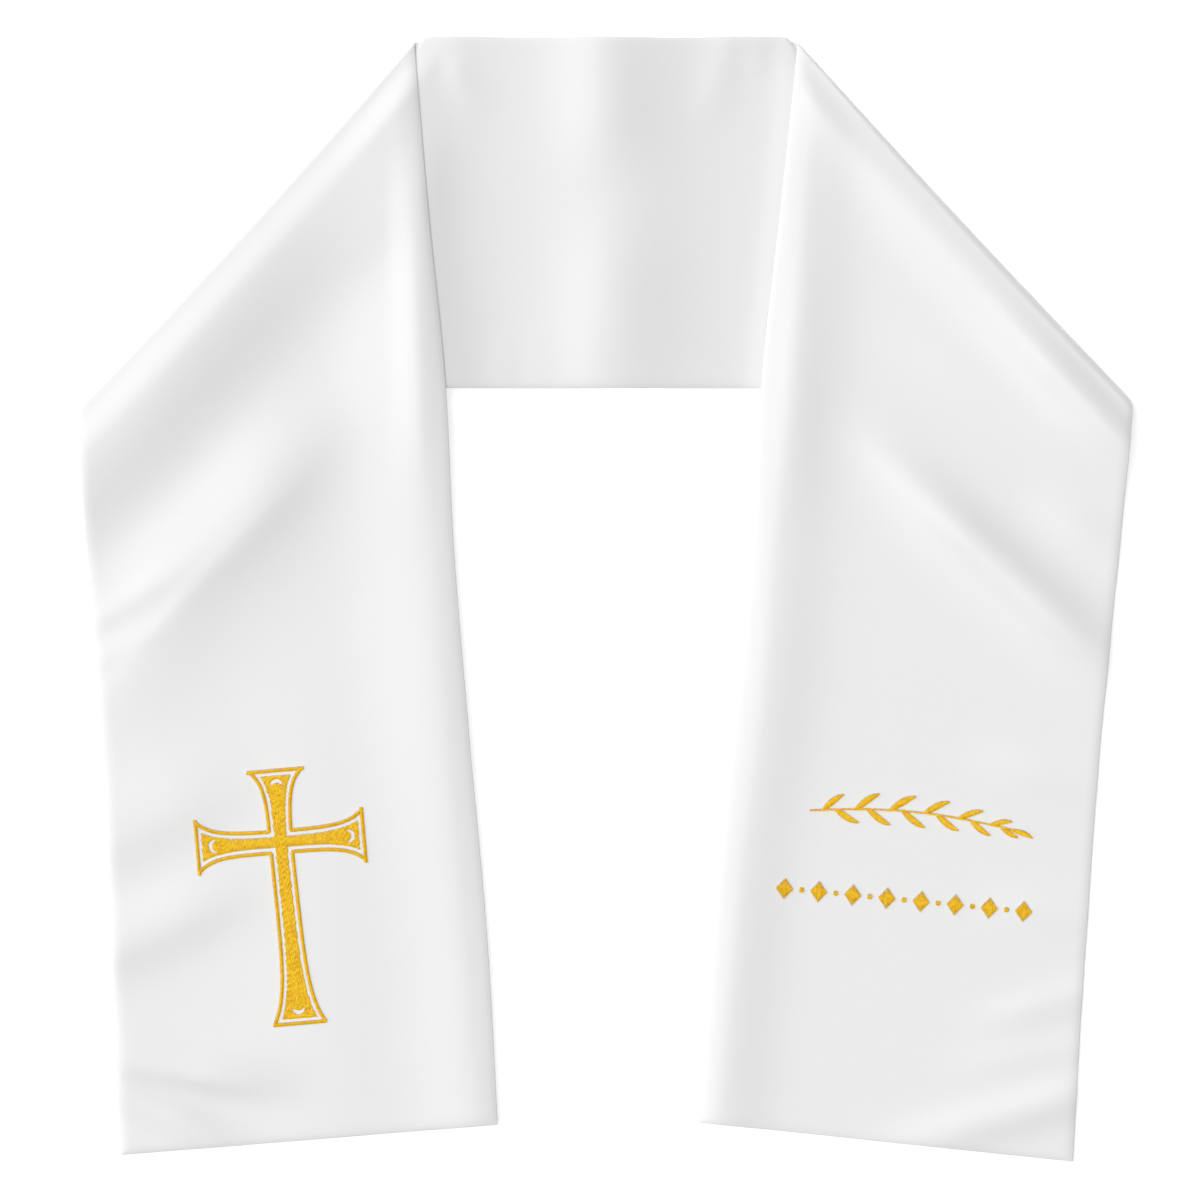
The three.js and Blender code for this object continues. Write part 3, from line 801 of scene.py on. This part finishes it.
def evenly(path, pitch):
    # points every pitch along a path, each with the path's direction there
    steps = np.linalg.norm(np.diff(path, axis=0), axis=1)
    reached = np.concatenate([[0], np.cumsum(steps)])
    places = np.linspace(0, reached[-1], max(2, round(reached[-1] / pitch) + 1))

    def pointsAt(at):
        return np.stack([np.interp(at, reached, path[:, k]) for k in (0, 1)], axis=-1)

    run = pointsAt(places + stitch["lookAhead"]) - pointsAt(places - stitch["lookAhead"])
    return pointsAt(places), run / np.linalg.norm(run, axis=1, keepdims=True)


def evenWidth(width):
    return lambda share: width


def satinColumn(stitches, front, path, widthAt, pitch, jitter, slant=0.0):
    # stitches side by side across a path, which is widthAt(share) wide at a share of its length
    points, runs = evenly(path, pitch)
    angle = math.radians(90 - slant)
    for k, (point, run) in enumerate(zip(points, runs)):
        half = widthAt(k / (len(points) - 1)) / 2
        if half < stitch["leastHalf"]:
            continue
        over = np.array([run[0] * math.cos(angle) - run[1] * math.sin(angle),
                         run[0] * math.sin(angle) + run[1] * math.cos(angle)]) * half
        addStitch(stitches, columnStitch, front, point - over, point + over,
                  pitch / stitch["pitch"], jitter)


def makeCrossOutline(material):
    jitter = random.Random(cross["outlineSeed"])
    stitches = []
    path = outlinePath(cross["outlineWidth"] / 2)
    satinColumn(stitches, leftFront, np.concatenate([path, path[:1]]),
                evenWidth(cross["outlineWidth"] + cross["outlineSpread"]), cross["outlinePitch"],
                jitter, slant=cross["outlineSlant"])
    sewPiece(stitches, "crossOutline", material, ("cross_outline",))


def insideFill(x, y):
    # within the outline, apart from a crescent that stays open near the end of each arm
    inside = np.zeros(np.shape(x), bool)
    inset = cross["fillInset"]
    for arm in cross["arms"]:
        out, over = toArm(arm, x, y)
        half = np.maximum(armHalfWidth(arm, out, inset), cross["armHalf"] - inset)
        reached = (out > -cross["fillBack"]) & (out < arm["reach"] - inset)
        inside |= reached & (np.abs(over) < half)
    for arm in cross["arms"]:
        out, over = toArm(arm, x, y)
        centre = arm["reach"] - arm["crescent"]
        outer = np.hypot(out - centre, over) < cross["crescentRadius"]
        inner = np.hypot(out - centre + cross["crescentShift"], over) < cross["crescentInnerRadius"]
        inside &= ~(outer & ~inner)
    return inside


def fillLines():
    # where each slanted line crosses the fill, as its start and end
    upright = math.radians(90 + cross["tilt"] + cross["fillSlant"])
    run = np.array([math.cos(upright), math.sin(upright)])
    over = np.array([run[1], -run[0]])
    along = np.arange(*cross["fillReach"], cross["fillStep"])
    for sideways in np.arange(-cross["fillHalf"], cross["fillHalf"], cross["fillPitch"]):
        points = np.array(cross["place"]) + sideways * over + along[:, None] * run
        inside = insideFill(points[:, 0], points[:, 1]).astype(int)
        changes = np.flatnonzero(np.diff(inside))
        for first, last in zip(changes[::2], changes[1::2]):
            yield points[first], points[last]


def stitchShares(length, offset):
    # where a line of the fill goes down into the cloth, as shares of its length
    if length <= cross["fillWholeLine"]:
        return [0.0, 1.0]
    count = math.ceil(length / cross["fillStitch"])
    ends = [j + offset for j in range(count + 1)]
    least = cross["fillEndShare"]
    return [0.0] + [end / count for end in ends if least < end < count - least] + [1.0]


def makeCrossFill(material):
    jitter = random.Random(cross["fillSeed"])
    offsets = cross["fillOffsets"]
    stitches = []
    for k, (start, end) in enumerate(fillLines()):
        length = np.linalg.norm(end - start)
        if length < cross["fillLeast"]:
            continue
        shares = stitchShares(length, offsets[k % len(offsets)])
        lap = cross["fillLap"] / length
        for low, high in zip(shares, shares[1:]):
            addStitch(stitches, fillStitch, leftFront, mix(start, end, max(0, low - lap)),
                      mix(start, end, min(1, high + lap)), cross["fillWidth"], jitter)
    sewPiece(stitches, "crossFill", material, ("cross_fill",))


goldThread = threadMaterial()
makeCrossOutline(goldThread)
makeCrossFill(goldThread)


# Ornament on the right front: an olive sprig over a row of lozenges and dots

ornament = {
    "tilt": -5.5,  # degrees, it leans with the right front
    "sprigStart": (80.0, -82.0),  # mm
    "sprigLength": 79.0,
    "sprigRise": 3.2,  # how far the stem bows up
    "stemWidth": 1.0,
    "stemSlant": 50.0,  # degrees
    "stemPoints": 60,
    "stemStep": 0.02,  # share of the stem over which its direction is read
    "sprigSeed": 23,
    "pitch": 0.46,
    "leafSlant": 38.0,
    "leafCurl": 0.32,  # radians, how far a leaf bends back along the stem
    "leafSteps": 24,
    "leafStart": 0.06,  # share of a round leaf that is cut off at its stalk
    "leafFullness": 0.75,  # the less, the fuller
    "leaves": [
        {"at": 0.06, "side": 1, "angle": 42, "length": 10.5, "width": 3.4},
        {"at": 0.12, "side": -1, "angle": 38, "length": 11.0, "width": 3.5},
        {"at": 0.22, "side": 1, "angle": 40, "length": 11.5, "width": 3.7},
        {"at": 0.28, "side": -1, "angle": 42, "length": 11.0, "width": 3.6},
        {"at": 0.39, "side": 1, "angle": 38, "length": 11.8, "width": 3.8},
        {"at": 0.45, "side": -1, "angle": 40, "length": 11.4, "width": 3.6},
        {"at": 0.56, "side": 1, "angle": 38, "length": 11.2, "width": 3.6},
        {"at": 0.62, "side": -1, "angle": 36, "length": 11.0, "width": 3.5},
        {"at": 0.73, "side": 1, "angle": 34, "length": 10.4, "width": 3.3},
        {"at": 0.79, "side": -1, "angle": 34, "length": 10.0, "width": 3.2},
        {"at": 0.89, "side": 1, "angle": 28, "length": 9.0, "width": 2.9},
        {"at": 0.94, "side": -1, "angle": 26, "length": 8.4, "width": 2.8},
        {"at": 1.0, "side": 1, "angle": -2, "length": 9.0, "width": 2.8},
    ],
    "rowSeed": 31,
    "rowStart": (70.0, -112.5),
    "rowLength": 93.5,
    "lozenges": 8,
    "lozengeHalf": (3.4, 4.6),
    "dotRadius": 1.1,
    "spotPoints": 12,
}


def tiltedOrnament(start, along, up):
    angle = math.radians(ornament["tilt"])
    return np.array([start[0] + along * math.cos(angle) - up * math.sin(angle),
                     start[1] + along * math.sin(angle) + up * math.cos(angle)])


def stemPoint(share):
    return tiltedOrnament(ornament["sprigStart"], share * ornament["sprigLength"],
                          ornament["sprigRise"] * math.sin(math.pi * share))


def leafPath(leaf):
    # from the stem outwards, in short steps that each turn a little
    base = stemPoint(leaf["at"])
    stemRun = base - stemPoint(leaf["at"] - ornament["stemStep"])
    heading = math.atan2(stemRun[1], stemRun[0]) + leaf["side"] * math.radians(leaf["angle"])
    curl = -leaf["side"] * ornament["leafCurl"]
    steps = ornament["leafSteps"]
    points = [base]
    for k in range(steps):
        turned = heading + curl * k / steps
        ahead = np.array([math.cos(turned), math.sin(turned)])
        points.append(points[-1] + leaf["length"] / steps * ahead)
    return np.array(points)


def leafWidth(widest):
    start = ornament["leafStart"]
    return lambda share: widest * math.sin(
        math.pi * min(1, start + (1 - start) * share)) ** ornament["leafFullness"]


def lozengeWidth(tall):
    return lambda share: 2 * tall * (1 - abs(2 * share - 1))


def dotWidth(radius):
    return lambda share: 2 * radius * math.sqrt(max(0, 1 - (2 * share - 1) ** 2))


def makeSprig(material):
    jitter = random.Random(ornament["sprigSeed"])
    stitches = []
    stem = np.array([stemPoint(share) for share in np.linspace(0, 1, ornament["stemPoints"])])
    satinColumn(stitches, rightFront, stem, evenWidth(ornament["stemWidth"]), ornament["pitch"],
                jitter, slant=ornament["stemSlant"])
    for leaf in ornament["leaves"]:
        satinColumn(stitches, rightFront, leafPath(leaf), leafWidth(leaf["width"]),
                    ornament["pitch"], jitter, slant=ornament["leafSlant"] * leaf["side"])
    sewPiece(stitches, "oliveSprig", material)


def sewSpot(stitches, along, half, widthAt, jitter):
    # a lozenge or a dot, as far along the row, half of it to each side
    shifts = np.linspace(-half, half, ornament["spotPoints"])
    path = [tiltedOrnament(ornament["rowStart"], along + shift, 0) for shift in shifts]
    satinColumn(stitches, rightFront, np.array(path), widthAt, ornament["pitch"], jitter)


def makeLozengeRow(material):
    jitter = random.Random(ornament["rowSeed"])
    stitches = []
    step = ornament["rowLength"] / (ornament["lozenges"] - 1)
    halfAlong, halfUp = ornament["lozengeHalf"]
    radius = ornament["dotRadius"]
    for k in range(ornament["lozenges"]):
        sewSpot(stitches, k * step, halfAlong, lozengeWidth(halfUp), jitter)
        if k < ornament["lozenges"] - 1:
            sewSpot(stitches, (k + 0.5) * step, radius, dotWidth(radius), jitter)
    sewPiece(stitches, "lozengeRow", material)


makeSprig(goldThread)
makeLozengeRow(goldThread)
